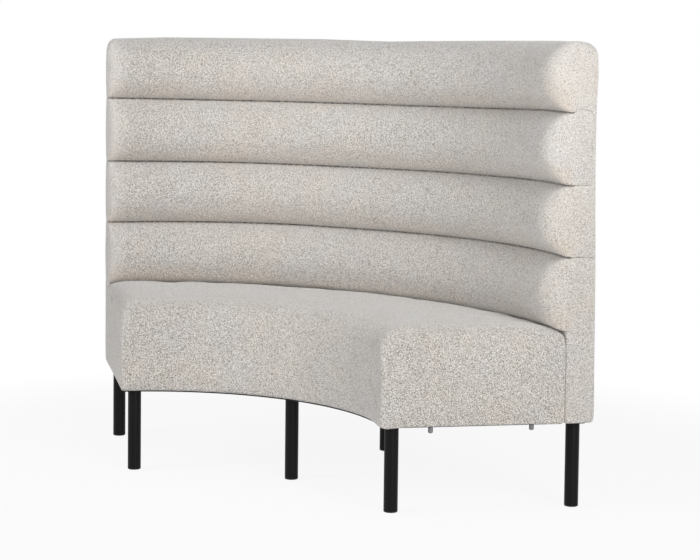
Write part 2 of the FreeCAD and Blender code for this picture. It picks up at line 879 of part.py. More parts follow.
# Bolts that hold the seat to the back, each in a threaded insert in the joining rail
def along_radius(shape, radius, angle):
    """Lay an upright shape along a radius at the bolts' height, its foot at that radius."""
    laid = shape.copy()
    laid.rotate(Vector(), Vector(1, 0, 0), -90)
    return at_radius(laid, radius, angle, bolt_height)


bolt_height = (joining_rail_bottom.value + joining_rail_top.value) / 2
head_seat = rear_rail_front.value
insert_front = frame_front.value
bolt_shape = Part.makeCylinder(bolt_radius, size.bolt_length.value)
bolt_head = Part.makeCylinder(size.bolt_head_diameter.value / 2, size.bolt_head_height.value)
bolt_head.translate(Vector(0, 0, -size.bolt_head_height.value))
bolt_shape = bolt_shape.fuse(bolt_head).removeSplitter()
bolt_hole = Part.makeCylinder(bolt_hole_radius, size.bolt_length.value + clear)
BOLT_TURN_SHARES = (-0.75, -0.25, 0.25, 0.75)
bolt_angles = [end_rib_turn.value * share for share in BOLT_TURN_SHARES]
loose_shape(
    "seat_to_back_bolts",
    Part.makeCompound([along_radius(bolt_shape, head_seat - clear, angle) for angle in bolt_angles]),
)
loose_shape(
    "back_rail_inserts",
    Part.makeCompound([along_radius(insert_shape, insert_front, angle) for angle in bolt_angles]),
)
bolt_holes = loose_shape(
    "bolt_holes",
    Part.makeCompound([along_radius(bolt_hole, head_seat - clear * 2, angle) for angle in bolt_angles]),
    kept=False,
)
insert_holes = loose_shape(
    "insert_holes",
    Part.makeCompound([along_radius(insert_hole, insert_front - clear, angle) for angle in bolt_angles]),
    kept=False,
)
cut_piece("seat_cover", seat_outer, [seat_inner, bolt_holes])
cut_piece("seat_rear_rail", seat_rear_rail, [bolt_holes])
cut_piece("back_front_panel", front_panel, [bolt_holes])
cut_piece("back_joining_rail", joining_rail, [bolt_holes, insert_holes])

# The channelled cover is cut out in one go: its outside and inside run close to each other all over
doc.recompute()
cutters = [cutter.Shape for cutter in (back_inner, rear_window, bolt_holes)]
loose_shape("back_front_cover", back_outer.Shape.cut(cutters))

# Check every piece, and write one file for each
doc.recompute()
faults = [item.Label for item in doc.Objects if "Invalid" in item.State or "Error" in item.State]
if faults:
    raise RuntimeError(f"objects that failed to build: {faults}")
os.makedirs("parts", exist_ok=True)
for label, piece in nodes.items():
    shape = piece.Shape
    if shape.isNull() or not shape.isValid() or not shape.Solids:
        raise RuntimeError(f"{label} isn't a sound solid")
    shape.exportStep(f"parts/{label}.step")
    print(label, len(shape.Solids), "solid(s)", round(shape.Volume / 1000, 1), "cm3")
print(len(nodes), "nodes")
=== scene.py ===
"""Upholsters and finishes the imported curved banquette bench, and sets it on a plain studio floor.

Lengths are in metres. Z is up, the seat faces -Y, and the bench's arc is centred on an upright axis in front
of the origin, so a point of the bench is a radius, a turn from the middle and a height."""

import functools
import math

import bmesh
import bpy
import numpy as np
from bpy.props import FloatProperty, FloatVectorProperty, PointerProperty
from mathutils import Matrix, Vector


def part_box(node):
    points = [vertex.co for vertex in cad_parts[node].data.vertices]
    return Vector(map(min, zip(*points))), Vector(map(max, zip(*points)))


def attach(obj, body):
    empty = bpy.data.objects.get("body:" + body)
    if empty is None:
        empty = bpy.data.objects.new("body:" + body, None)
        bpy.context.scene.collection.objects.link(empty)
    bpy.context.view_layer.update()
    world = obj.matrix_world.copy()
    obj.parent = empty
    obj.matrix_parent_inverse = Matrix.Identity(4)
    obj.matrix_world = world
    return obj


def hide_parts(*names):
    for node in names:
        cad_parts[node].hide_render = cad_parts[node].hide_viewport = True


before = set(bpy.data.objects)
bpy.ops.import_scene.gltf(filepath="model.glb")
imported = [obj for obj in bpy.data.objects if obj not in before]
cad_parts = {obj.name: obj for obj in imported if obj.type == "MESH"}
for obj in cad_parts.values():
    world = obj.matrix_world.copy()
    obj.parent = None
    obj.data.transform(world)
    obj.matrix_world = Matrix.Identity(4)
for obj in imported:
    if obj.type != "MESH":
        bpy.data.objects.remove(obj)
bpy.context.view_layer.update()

bl_info = {
    "name": "Curved banquette bench",
    "version": (1, 0, 0),
    "blender": (4, 5, 0),
    "location": "View3D > Sidebar > Bench",
    "description": "Upholsters a quarter-circle banquette bench with a channelled back",
    "category": "Object",
}


def length(name, description, default):
    return FloatProperty(name=name, description=description, default=default, min=0, unit="LENGTH", precision=4)


def colour(name, description, default):
    return FloatVectorProperty(
        name=name, description=description, default=default, subtype="COLOR", size=3, min=0, max=1
    )


class BenchShape(bpy.types.PropertyGroup):
    """Sizes of the bench and its padding."""

    sweep: FloatProperty(name="Sweep", description="Angle between the two ends", default=math.pi / 2, subtype="ANGLE")
    front_radius: length("Seat front radius", "From the arc's axis to the seat's front", 0.575)
    seam_radius: length("Seam radius", "From the arc's axis to the seams of the back", 1.035)
    outer_radius: length("Rear radius", "From the arc's axis to the rear of the back", 1.110)
    height: length("Height", "Top of the back above the floor", 1.150)
    underside: length("Underside", "Lower edge of the covers above the floor", 0.214)
    seat_height: length("Seat height", "Shoulders of the seat above the floor", 0.459)
    roll_pitch: length("Channel pitch", "Height of each stuffed channel", 0.175)
    roll_crown: length("Channel crown", "How far a channel stands in front of its seams", 0.060)
    top_bend: length("Top bend", "Front bend of the top channel", 0.0875)
    end_bend: length("End bend", "Soft corner between the front and the end faces", 0.016)
    hem_bend: length("Hem bend", "Soft lower corner of the covers", 0.013)
    seat_front_bend: length("Seat front bend", "Soft front edge of the seat", 0.060)
    seat_rear_bend: length("Seat rear bend", "Shoulder where the seat meets the back", 0.016)
    seat_rear_drop: length("Seat rear drop", "How far the seat is lower at its rear", 0.009)
    foot_setback: length("Foot setback", "How far the back's foot stands behind its seams", 0.005)
    crest_bend: length("Crest bend", "Soft end of a channel at its crest", 0.050)
    foot_bulge: length("Foot bulge", "How far the lowest channel swells over the seat", 0.012)
    seam_depth: length("Seam depth", "How deep the seams are drawn in between the channels", 0.006)
    seam_width: length("Seam width", "Width of the drawn-in seams", 0.0045)


class BenchFinish(bpy.types.PropertyGroup):
    """Colours of the finishes."""

    loop_light: colour("Loops", "Raised loops of the boucle cloth", (0.86, 0.825, 0.785))
    loop_dark: colour("Ground", "Shaded ground between the loops", (0.36, 0.325, 0.29))
    lining: colour("Lining", "Thin cloth under the bench", (0.012, 0.012, 0.013))
    leg: colour("Legs", "Powder coat of the legs", (0.004, 0.0041, 0.0044))
    glide: colour("Glides", "Moulded feet", (0.010, 0.010, 0.011))
    pin: colour("Pins", "Dull zinc of the link pins", (0.21, 0.215, 0.22))
    zinc: colour("Zinc", "Plated bolts, inserts and staples", (0.52, 0.53, 0.55))
    plywood: colour("Plywood", "Bare plywood of the frame", (0.55, 0.37, 0.20))


class BenchStudio(bpy.types.PropertyGroup):
    """Light and camera."""

    front_power: FloatProperty(name="Front light", description="Power of the lamp in front", default=159, unit="POWER")
    side_power: FloatProperty(name="Side light", description="Power of the lamp at the right", default=90, unit="POWER")
    top_power: FloatProperty(name="Top light", description="Power of the lamp above", default=54, unit="POWER")
    surround: FloatProperty(name="Surround", description="Strength of the even light all round", default=0.24)
    lens: FloatProperty(name="Lens", description="Focal length in millimetres", default=104.67)


def shape():
    return bpy.context.scene.bench_shape


def finish():
    return bpy.context.scene.bench_finish


# Surfaces


def setback():
    """How far the arc's axis stands in front of the origin, so that the bench is centred on it: half of the
    rear radius plus the reach of the seat's soft front corners."""
    s = shape()
    corner = s.front_radius + s.end_bend
    reach = math.sqrt(corner**2 - s.end_bend**2)
    half = s.sweep / 2
    front = reach * math.cos(half) + s.end_bend * math.sin(half) - s.end_bend
    return (front + s.outer_radius) / 2


def bench_points(radius, turn, height):
    """Points at a radius and a turn from the bench's middle: x is the radius times the turn's sine, y the
    radius times its cosine less the axis's setback."""
    return np.stack(
        [radius * np.sin(turn), radius * np.cos(turn) - setback(), np.broadcast_to(height, np.shape(radius))], -1
    )


def near_end(outline, side, depth):
    """An outline's points, of radius and height, at a distance inside the end plane of one side. Their turn is
    half the sweep less the angle whose sine is that distance over the radius."""
    radius = outline[..., 0]
    turn = side * (shape().sweep / 2 - np.arcsin(depth / radius))
    return bench_points(radius, turn, outline[..., 1])


def arc(across, up, reach, start, stop, count):
    """Points on a circle, or an ellipse where reach is a pair: the angle runs from start to stop in degrees,
    0 points to the front and 90 up."""
    wide, high = reach if isinstance(reach, tuple) else (reach, reach)
    turn = np.radians(np.linspace(start, stop, count))
    return np.stack([across - wide * np.cos(turn), up + high * np.sin(turn)], 1)


# How far the sewn lines wander from their level, in millimetres: a row for the seat's line, one for each seam
# and one for the top edge, by turn in degrees
LINE_TURNS = (-45, -36, -27, -18, -11, -5, 0, 6, 13, 22, 30, 36, 45)
LINE_WANDER = (
    (-2.0, -3.2, -2.3, -4.2, -6.6, -8.2, -9.4, -10.4, -11.6, -12.5, -11.5, -10.2, -8.0),
    (-2.8, -1.0, -0.1, 0.0, -1.4, -2.5, -2.5, -2.3, -2.2, -1.3, -0.5, 0.0, 0.0),
    (-3.4, -3.4, -3.4, -4.6, -5.4, -5.9, -5.5, -4.8, -3.8, -2.6, -0.5, 1.2, 1.5),
    (1.3, -0.3, -2.0, -2.7, -3.2, -3.4, -3.7, -3.6, -2.2, -0.4, 3.0, 5.3, 5.5),
    (-5.5, 0.0, 0.0, 0.0, 0.0, -2.6, -4.4, -1.6, 0.3, 2.6, 3.9, 4.4, 4.6),
)
# How far the rear of the right end leans out, in millimetres, by height
LEAN_HEIGHTS = (0.214, 0.29, 0.42, 0.60, 0.72, 0.87, 1.00, 1.07, 1.15)
LEAN = (8.0, 6.5, 5.0, 3.5, 0.5, -2.0, -1.8, 1.5, 3.5)


def polar(points):
    """The radius and the turn of points."""
    ahead = points[:, 1] + setback()
    return np.hypot(points[:, 0], ahead), np.arctan2(points[:, 0], ahead)


def inside_end(radius, turn):
    """How far points are inside the nearer end plane: the radius times the sine of the turn that is left."""
    return radius * np.sin(shape().sweep / 2 - np.abs(turn))


def outward(turn):
    """The level direction away from the arc's axis, as x and y."""
    return np.stack([np.sin(turn), np.cos(turn)], 1)


def part(value, span):
    """The share of a span that a value covers, from 0 to 1."""
    return np.clip(value / span, 0, 1)


def wander(points):
    """How far the sewn lines stand off their level at these points: the rows are read by turn and blended
    smoothly by height, and fade out below the seat's line."""
    s = shape()
    turn = np.degrees(polar(points)[1])
    rows = np.array([np.interp(turn, LINE_TURNS, row) for row in LINE_WANDER]) / 1000
    lowest = s.height - s.roll_pitch * 4
    place = np.clip((points[:, 2] - lowest) / s.roll_pitch, 0, 3.999)
    below = place.astype(int)
    share = place - below
    share *= share * (3 - 2 * share)
    every = np.arange(len(points))
    lift = rows[below, every] * (1 - share) + rows[below + 1, every] * share
    return lift * part(points[:, 2] - s.underside, lowest - s.underside)


def lean(points):
    """Points with the rear of the right end leaning out: the lean is read by height, fades along the arc as a
    bell curve, and fades evenly in front of the rear."""
    radius, turn = polar(points)
    out = np.interp(points[:, 2], LEAN_HEIGHTS, LEAN) / 1000
    end_reach, rear_from, rear_fade = 0.14, 1.05, 0.05
    out *= np.exp(-(((shape().sweep / 2 - turn) / end_reach) ** 2)) * part(radius - rear_from, rear_fade)
    moved = points.copy()
    moved[:, :2] += out[:, None] * outward(turn)
    return moved


def line(first, last, count):
    """Evenly spaced points from one to another."""
    share = np.linspace(0, 1, count)[:, None]
    return np.asarray(first) * (1 - share) + np.asarray(last) * share


def chain(*runs):
    """Runs end to end, each without its first point after the first run."""
    return np.concatenate([runs[0]] + [run[1:] for run in runs[1:]])


def spread(points, count):
    """The same line with evenly spaced points."""
    steps = np.linalg.norm(np.diff(points, axis=0), axis=1)
    along = np.concatenate([[0], np.cumsum(steps)])
    at = np.linspace(0, along[-1], count)
    return np.stack([np.interp(at, along, points[:, axis]) for axis in range(points.shape[1])], 1)


def ripple(points, pitch, seed):
    """A smooth wandering value, mostly from -1 to 1: twelve plane waves about one pitch long, in seeded
    directions with seeded phases, added up."""
    chance = np.random.default_rng(seed)
    waves = chance.normal(size=(12, 3))
    waves *= (2 * np.pi / pitch * chance.uniform(0.7, 1.4, 12) / np.linalg.norm(waves, axis=1))[:, None]
    return np.sin(points @ waves.T + chance.uniform(0, 2 * np.pi, 12)).sum(-1) / 4


class Section:
    """A padded piece's closed outline in the plane of radius and height, as four sides between its corners:
    front and rear run up, top and bottom run back. Each point has the direction in which the outline draws
    in towards the ends, and the size of the bend there."""

    def __init__(self, front, top, rear, bottom, inward, bend):
        self.tall, self.deep = len(front), len(top)
        self.points = np.concatenate([front[:-1], top[:-1], rear[:0:-1], bottom[:0:-1]])
        self.inward = inward(self.points)
        self.inward /= np.linalg.norm(self.inward, axis=1)[:, None]
        self.bend = bend(self.points)

    def sides(self, loop):
        """The front, top, rear and bottom of a loop of values."""
        n, m = self.tall - 1, self.deep - 1
        closed = np.concatenate([loop, loop[:1]])
        return (
            closed[: n + 1],
            closed[n : n + m + 1],
            closed[n + m : n * 2 + m + 1][::-1],
            closed[n * 2 + m :][::-1],
        )


def end_patch(sides, reach):
    """The end face between its four sides: lines run across from front to rear, and the bulge of the bottom and
    of the top is added, fading with the height share to the power of reach."""
    front, top, rear, bottom = sides
    up = ((front[:, 1] - front[0, 1]) / (front[-1, 1] - front[0, 1]))[:, None, None]
    back = ((top[:, 0] - top[0, 0]) / (top[-1, 0] - top[0, 0]))[None, :, None]
    across = front[:, None] * (1 - back) + rear[:, None] * back
    below = bottom[None] - front[0] * (1 - back) - rear[0] * back
    above = top[None] - front[-1] * (1 - back) - rear[-1] * back
    return across + below * (1 - up) ** reach + above * up**reach


def quads(index, closed=False):
    """The faces of a grid of point numbers, whose last column joins the first where it is closed."""
    if closed:
        index = np.concatenate([index, index[:, :1]], 1)
    return np.stack([index[:-1, :-1], index[:-1, 1:], index[1:, 1:], index[1:, :-1]], -1).reshape(-1, 4)


def padded_form(section, edge_depths, middle_columns, swell, reach=1):
    """A closed padded piece swept along the bench's arc. Its section keeps its size along the middle, and at
    each end it draws in by bend times (1 - cos t) while it nears the end plane by bend times (1 - sin t), a
    quarter circle. swell(points, across, up) is how far the end face stands proud. Returns the points, the
    faces, the index of each point by column and by place round the section, and the same for the end faces."""
    outline, bend = section.points, section.bend
    quarter = np.radians(np.linspace(90, 0, 7))[:-1]

    def drawn_in(turn):
        return outline + (bend * (1 - np.cos(turn)))[:, None] * section.inward

    left, right = (
        [near_end(drawn_in(turn), side, bend * (1 - np.sin(turn))) for turn in quarter]
        + [near_end(outline, side, bend + depth) for depth in edge_depths]
        for side in (-1, 1)
    )
    radius, height = outline.T
    last = shape().sweep / 2 - np.arcsin((bend + edge_depths[-1]) / radius)
    shares = np.linspace(-1, 1, middle_columns + 2)[1:-1]
    tube = np.array(left + [bench_points(radius, share * last, height) for share in shares] + right[::-1])
    grid = np.arange(tube[..., 0].size).reshape(tube.shape[:2])
    points, faces, caps = [tube.reshape(-1, 3)], [quads(grid, True)], []
    total = grid.size
    patch = end_patch(section.sides(outline + bend[:, None] * section.inward), reach)
    up, back = np.meshgrid(np.linspace(0, 1, section.tall), np.linspace(0, 1, section.deep), indexing="ij")
    proud = swell(patch, back, up)
    for side, ring in ((-1, grid[0]), (1, grid[-1])):
        inner = near_end(patch, side, -proud)[1:-1, 1:-1]
        index = np.zeros((section.tall, section.deep), int)
        index[:, 0], index[-1], index[:, -1], index[0] = section.sides(ring)
        index[1:-1, 1:-1] = total + np.arange(inner[..., 0].size).reshape(inner.shape[:2])
        total += inner[..., 0].size
        points.append(inner.reshape(-1, 3))
        faces.append(quads(index))
        caps.append(index)
    return np.concatenate(points), np.concatenate(faces), grid, caps


def new_piece(name, points, faces, smooth=True):
    """A mesh object at the origin from arrays of points and faces, with its faces turned outwards."""
    mesh = bpy.data.meshes.new(name)
    mesh.from_pydata(np.asarray(points).tolist(), [], np.asarray(faces).tolist())
    work = bmesh.new()
    work.from_mesh(mesh)
    bmesh.ops.remove_doubles(work, verts=work.verts, dist=1e-6)
    bmesh.ops.recalc_face_normals(work, faces=work.faces)
    work.to_mesh(mesh)
    work.free()
    mesh.polygons.foreach_set("use_smooth", np.full(len(mesh.polygons), smooth))
    mesh.update()
    piece = bpy.data.objects.new(name, mesh)
    bpy.context.collection.objects.link(piece)
    return piece


def read_points(mesh, field="co"):
    """The places of a mesh's points, or with the field "normal" their normals."""
    values = np.empty(len(mesh.vertices) * 3)
    mesh.vertices.foreach_get(field, values)
    return values.reshape(-1, 3)


def write_points(mesh, points):
    mesh.vertices.foreach_set("co", np.ascontiguousarray(points).ravel())
    mesh.update()


def crease(mesh, marked, sharpness):
    """Keeps the edges between marked points sharp under subdivision."""
    ends = np.empty(len(mesh.edges) * 2, int)
    mesh.edges.foreach_get("vertices", ends)
    both = marked[ends.reshape(-1, 2)].all(axis=1)
    layer = mesh.attributes.new("crease_edge", "FLOAT", "EDGE")
    layer.data.foreach_set("value", both * float(sharpness))


def mark(mesh, name, values):
    """Keeps a value for each point, which a finish reads."""
    layer = mesh.attributes.new(name, "FLOAT", "POINT")
    layer.data.foreach_set("value", np.asarray(values, float))


def subdivide(piece):
    """Rounds a piece by one level of subdivision."""
    smooth = piece.modifiers.new("round", "SUBSURF")
    smooth.levels = smooth.render_levels = 1


def settle(piece, held, pressure, slack, reach):
    """Lets the cover settle over its filling: cloth with a light inner pressure and no gravity runs for twenty
    frames while the held points stay. Slack is the extra cloth, as a share, that puckers, no point moves
    further than reach, and the filling keeps them from sinking in. The result is written into the mesh."""
    scene = bpy.context.scene
    group = piece.vertex_groups.new(name="held")
    group.add(np.flatnonzero(held).tolist(), 1.0, "REPLACE")
    cloth = piece.modifiers.new("cloth", "CLOTH")
    stuff = {"quality": 6, "mass": 0.4, "air_damping": 3, "tension_stiffness": 18, "compression_stiffness": 18}
    stuff |= {"shear_stiffness": 6, "bending_stiffness": 0.6, "vertex_group_mass": group.name}
    stuff |= {"shrink_min": -slack, "use_pressure": True, "uniform_pressure_force": pressure}
    for key, value in stuff.items():
        setattr(cloth.settings, key, value)
    cloth.settings.effector_weights.gravity = 0
    cloth.collision_settings.use_collision = False
    first_frame, last_frame = 1, 20
    cloth.point_cache.frame_start = first_frame
    cloth.point_cache.frame_end = last_frame
    for number in range(first_frame, last_frame + 1):
        scene.frame_set(number)
    seen = piece.evaluated_get(bpy.context.evaluated_depsgraph_get())
    moved = read_points(seen.to_mesh())
    seen.to_mesh_clear()
    piece.modifiers.remove(cloth)
    piece.vertex_groups.remove(group)
    scene.frame_set(first_frame)
    start = read_points(piece.data)
    normals = read_points(piece.data, "normal")
    step = moved - start
    far = np.linalg.norm(step, axis=1, keepdims=True)
    step *= reach * np.tanh(far / reach) / np.maximum(far, 1e-9)
    sunk, may_sink = -(step * normals).sum(1), 0.0008
    step += normals * np.clip(sunk - may_sink, 0, None)[:, None]
    write_points(piece.data, start + step)


# Finishes


def sign(operation, swapped=False):
    """A method of a term that adds a Math node for a sign."""

    def joined_and_lit_top(self, other=0.0):
        pair = (other, self) if swapped else (self, other)
        node = self.nodes.node("ShaderNodeMath", {"operation": operation}, dict(enumerate(pair)))
        return Term(self.nodes, node.outputs[0])

    return joined_and_lit_top


class Term:
    """A number that varies over a surface, written in sums: each sign adds a Math node."""

    def __init__(self, nodes, socket):
        self.nodes = nodes
        self.socket = socket

    __add__ = __radd__ = sign("ADD")
    __sub__, __rsub__ = sign("SUBTRACT"), sign("SUBTRACT", swapped=True)
    __mul__ = __rmul__ = sign("MULTIPLY")
    __abs__ = sign("ABSOLUTE")
    or_larger = sign("MAXIMUM")


class Nodes:
    """The nodes of a finish or of the world."""

    def __init__(self, owner):
        owner.use_nodes = True
        self.tree = owner.node_tree
        self.tree.nodes.clear()

    def set(self, node, sockets):
        for key, value in sockets.items():
            socket = node.inputs[key]
            if isinstance(value, Term):
                value = value.socket
            if isinstance(value, bpy.types.NodeSocket):
                self.tree.links.new(value, socket)
            elif hasattr(socket.default_value, "__len__"):
                wanted = len(socket.default_value)
                socket.default_value = (tuple(value) + (1,))[:wanted]
            else:
                socket.default_value = value

    def node(self, kind, settings=None, sockets=None):
        """One node: its settings first, then the values or links of its sockets."""
        node = self.tree.nodes.new(kind)
        for key, value in (settings or {}).items():
            setattr(node, key, value)
        self.set(node, sockets or {})
        return node

    def plain_rays(self):
        """1 for the rays from the camera, in gloss and in glass, which all see a plain white background."""
        path = self.node("ShaderNodeLightPath").outputs
        camera, gloss, glass = (Term(self, path[f"Is {kind} Ray"]) for kind in ("Camera", "Glossy", "Transmission"))
        return camera.or_larger(gloss.or_larger(glass))


class Recipe(Nodes):
    """The nodes of one finish, over the shader that they feed."""

    def __init__(self, name, base, roughness, **constants):
        self.material = bpy.data.materials.new(name)
        super().__init__(self.material)
        self.surface = self.node("ShaderNodeBsdfPrincipled")
        self.paint(Base_Color=base, Roughness=roughness, **constants)
        self.output = self.node("ShaderNodeOutputMaterial", {}, {"Surface": self.surface.outputs["BSDF"]})
        self.place = self.node("ShaderNodeTexCoord").outputs["Object"]
        self.material.diffuse_color = (*base, 1)

    def marked(self, name):
        """The value that mark keeps for each point."""
        return Term(self, self.node("ShaderNodeAttribute", {"attribute_name": name}).outputs["Fac"])

    def along(self, axis):
        """The place along one axis."""
        return Term(self, self.node("ShaderNodeSeparateXYZ", {}, {0: self.place}).outputs[axis])

    def noise(self, scale, place=None, detail=2.0, rough=0.5):
        place = self.place if place is None else place
        sockets = {"Vector": place, "Scale": scale, "Detail": detail, "Roughness": rough}
        return self.node("ShaderNodeTexNoise", {}, sockets)

    def value(self, *arguments, **settings):
        return Term(self, self.noise(*arguments, **settings).outputs[0])

    def ramp(self, term, low, high):
        """0 below low, 1 above high and smooth between."""
        settings = {"interpolation_type": "SMOOTHSTEP"}
        sockets = {"Value": term, "From Min": low, "From Max": high}
        return Term(self, self.node("ShaderNodeMapRange", settings, sockets).outputs[0])

    def mix(self, factor, first, second, blend="MIX"):
        settings = {"data_type": "RGBA", "blend_type": blend}
        node = self.node("ShaderNodeMix", settings, {0: factor, 6: first, 7: second})
        return node.outputs[2]

    def vector(self, operation, sockets):
        return self.node("ShaderNodeVectorMath", {"operation": operation}, sockets).outputs[0]

    def warp(self, scale, reach):
        """The surface's place, pushed about by a noise of that scale as far as reach."""
        cloud = self.noise(scale, detail=1.0).outputs["Color"]
        centred = self.vector("SUBTRACT", {0: cloud, 1: (0.5, 0.5, 0.5)})
        return self.vector("ADD", {0: self.place, 1: self.vector("SCALE", {0: centred, "Scale": reach})})

    def paint(self, **sockets):
        self.set(self.surface, {key.replace("_", " "): value for key, value in sockets.items()})

    def bump(self, height, distance):
        sockets = {"Height": height, "Distance": distance, "Strength": 1.0}
        self.paint(Normal=self.node("ShaderNodeBump", {}, sockets).outputs[0])


def shade(base, factor):
    """A colour made darker or lighter by a factor."""
    return tuple(channel * factor for channel in base)


def boucle(name, contrast=1.2, joined_and_lit_top=False):
    """Looped cloth: round loops sit close together, with thick curly threads where a warped noise crosses its
    middle value, and the ground shows dark between them. Slow clouds vary the tone a little, and painted shade
    darkens each sewn seam in a line that the loops break. Where the cloth is pulled over a filling its loops
    stand more open, lighter over a deeper ground, and above each seam painted shade makes it warmer and a little
    darker. Joined cloth has a faint darker upright line at its join in the middle, and painted light makes it
    lighter towards the top."""
    loops_to_metre = 400.0
    light, dark = tuple(finish().loop_light), tuple(finish().loop_dark)
    dark = tuple(d * contrast + l * (1 - contrast) for l, d in zip(light, dark))
    light = shade(light, 0.75 + 0.25 * contrast)
    r = Recipe(name, light, 0.95, Sheen_Weight=0.9, Sheen_Roughness=0.5, Specular_IOR_Level=0.2)
    place = r.warp(loops_to_metre * 0.8, 0.8 / loops_to_metre)
    cells = r.node("ShaderNodeTexVoronoi", {"feature": "F1"}, {"Vector": place, "Scale": loops_to_metre * 1.1})
    loop = 1 - r.ramp(Term(r, cells.outputs["Distance"]), 0.12, 0.80)
    thread = 1 - r.ramp(abs(r.value(loops_to_metre * 1.3, place, detail=0.0) - 0.5), 0.01, 0.14)
    height = loop * 0.65 + thread * 0.35
    loops, ground = light, dark
    if joined_and_lit_top:
        # Painted light: the cover's loops and ground turn lighter towards the top
        painted_top_light = r.ramp(r.along(2), 0.42, 1.12)
        loops, ground = r.mix(painted_top_light, light, shade(light, 1.1)), r.mix(painted_top_light, dark, shade(dark, 1.45))
    pulled = r.marked("pulled")
    ground, loops = r.mix(pulled, ground, shade(dark, 0.66)), r.mix(pulled, loops, shade(light, 1.12))
    cloth = r.mix(r.ramp(height, 0.12, 0.62), ground, loops)
    clouds = r.ramp(r.value(9.0), 0.3, 0.7)
    cloth = r.mix(1.0, cloth, r.mix(clouds, (1.0, 0.985, 0.965), (0.975, 0.985, 1.0)), "MULTIPLY")
    # Painted warm shade in the hollow above each seam: warmer and a little darker
    cloth = r.mix(r.marked("painted_warm_shade"), cloth, r.mix(1.0, cloth, (1.01, 0.95, 0.885), "MULTIPLY"))
    # Painted shade along the seams, broken by a noise
    seam_shade_and_join = r.ramp(r.marked("seam"), 0.55, 0.95) * (0.35 + 0.65 * r.ramp(r.value(130.0, detail=1.0), 0.35, 0.6))
    if joined_and_lit_top:
        # A faint darker upright line at the join in the middle, mixed with the painted seam shade
        join = 1 - r.ramp(abs(r.along(0)), 0.0004, 0.0024)
        seam_shade_and_join = seam_shade_and_join + join * r.ramp(r.value(40.0), 0.4, 0.6) * 0.4
    r.paint(Base_Color=r.mix(seam_shade_and_join, cloth, shade(dark, 0.10)))
    r.bump(height, 0.0009)
    return r.material


def grained(name, base, roughness, tone, shades, grain, relief, gloss=(), **constants):
    """A plain finish: its tone runs between two shades with one noise, and its relief is another noise. Gloss,
    where it is given, is the lowest roughness and how much the first noise adds to it."""
    r = Recipe(name, base, roughness, **constants)
    clouds = r.value(**tone)
    low, high = shades
    r.paint(Base_Color=r.mix(clouds, shade(base, low), shade(base, high)))
    if gloss:
        r.paint(Roughness=gloss[0] + gloss[1] * clouds)
    r.bump(r.value(**grain) if grain else clouds, relief)
    return r.material


def felt():
    """Thin non-woven cloth: a fine tangle of fibres with small pressed points."""
    fibres = {"scale": 900.0, "detail": 4.0, "rough": 0.7}
    return grained("lining cloth", tuple(finish().lining), 0.95, fibres, (0.6, 1.9), None, 0.0003, Sheen_Weight=0.1)


def powder_coat():
    """Satin powder coat: a very fine orange peel, with a little dust in its gloss."""
    dust, peel = {"scale": 22.0, "detail": 3.0}, {"scale": 700.0}
    shades, gloss = (0.85, 1.25), (0.36, 0.14)
    base = tuple(finish().leg)
    return grained("satin powder coat", base, 0.42, dust, shades, peel, 0.00012, gloss, Specular_IOR_Level=0.12)


def plated(name, base, dull):
    """Zinc plate: a cloudy crystalline tone and fine turning marks."""
    clouds, marks = {"scale": 240.0, "detail": 3.0}, {"scale": 1800.0}
    return grained(name, tuple(base), dull, clouds, (0.75, 1.2), marks, 0.00006, (dull - 0.08, 0.2), Metallic=1.0)


def moulded_plastic():
    """Moulded foot plastic: matt, with a fine grain and scuffs."""
    base = tuple(finish().glide)
    r = Recipe("moulded plastic", base, 0.55)
    grain = r.value(1500.0)
    scuffs = r.ramp(r.value(160.0, detail=4.0, rough=0.7), 0.58, 0.7)
    r.paint(Base_Color=r.mix(scuffs, base, shade(base, 2.2)), Roughness=0.5 + 0.2 * grain)
    r.bump(grain, 0.0001)
    return r.material


def plywood():
    """Bare plywood: long wavy grain that follows the height, over darker glue lines."""
    base = tuple(finish().plywood)
    r = Recipe("bare plywood", base, 0.7)
    stretch = {"Vector": r.warp(6.0, 0.01), "Scale": (1.0, 1.0, 14.0)}
    stretched = r.node("ShaderNodeMapping", {}, stretch).outputs[0]
    grain = r.value(14.0, stretched, detail=5.0, rough=0.6)
    pores = r.ramp(r.value(60.0, stretched, detail=3.0), 0.55, 0.75)
    tone = r.mix(grain, shade(base, 0.72), shade(base, 1.2))
    r.paint(Base_Color=r.mix(pores * 0.4, tone, shade(base, 0.5)), Roughness=0.62 + 0.2 * grain)
    r.bump(grain, 0.0002)
    return r.material


@functools.cache
def finish_named(name):
    """Each finish is made once."""
    makers = {
        "cover": lambda: boucle("boucle cloth"),
        # The back's cover has the join, painted shade at its seams and painted light towards the top
        "back cover": lambda: boucle("boucle cloth, back, painted light and shade", contrast=1.0, joined_and_lit_top=True),
        "rear cover": lambda: boucle("boucle cloth, rear", contrast=1.0),
        "lining": felt,
        "legs": powder_coat,
        "glides": moulded_plastic,
        "pins": lambda: plated("dull zinc", finish().pin, 0.5),
        "fixings": lambda: plated("bright zinc", finish().zinc, 0.35),
        "plywood": plywood,
    }
    return makers[name]()


def dress(piece, finish_name, slot, *nodes):
    """Gives a new piece its finish, and ties it to the frame in place of the nodes that it stands for."""
    piece.data.materials.append(finish_named(finish_name))
    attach(piece, "root")
    if nodes:
        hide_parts(*nodes)


# The back

REAR_COVER_THICKNESS = 0.009


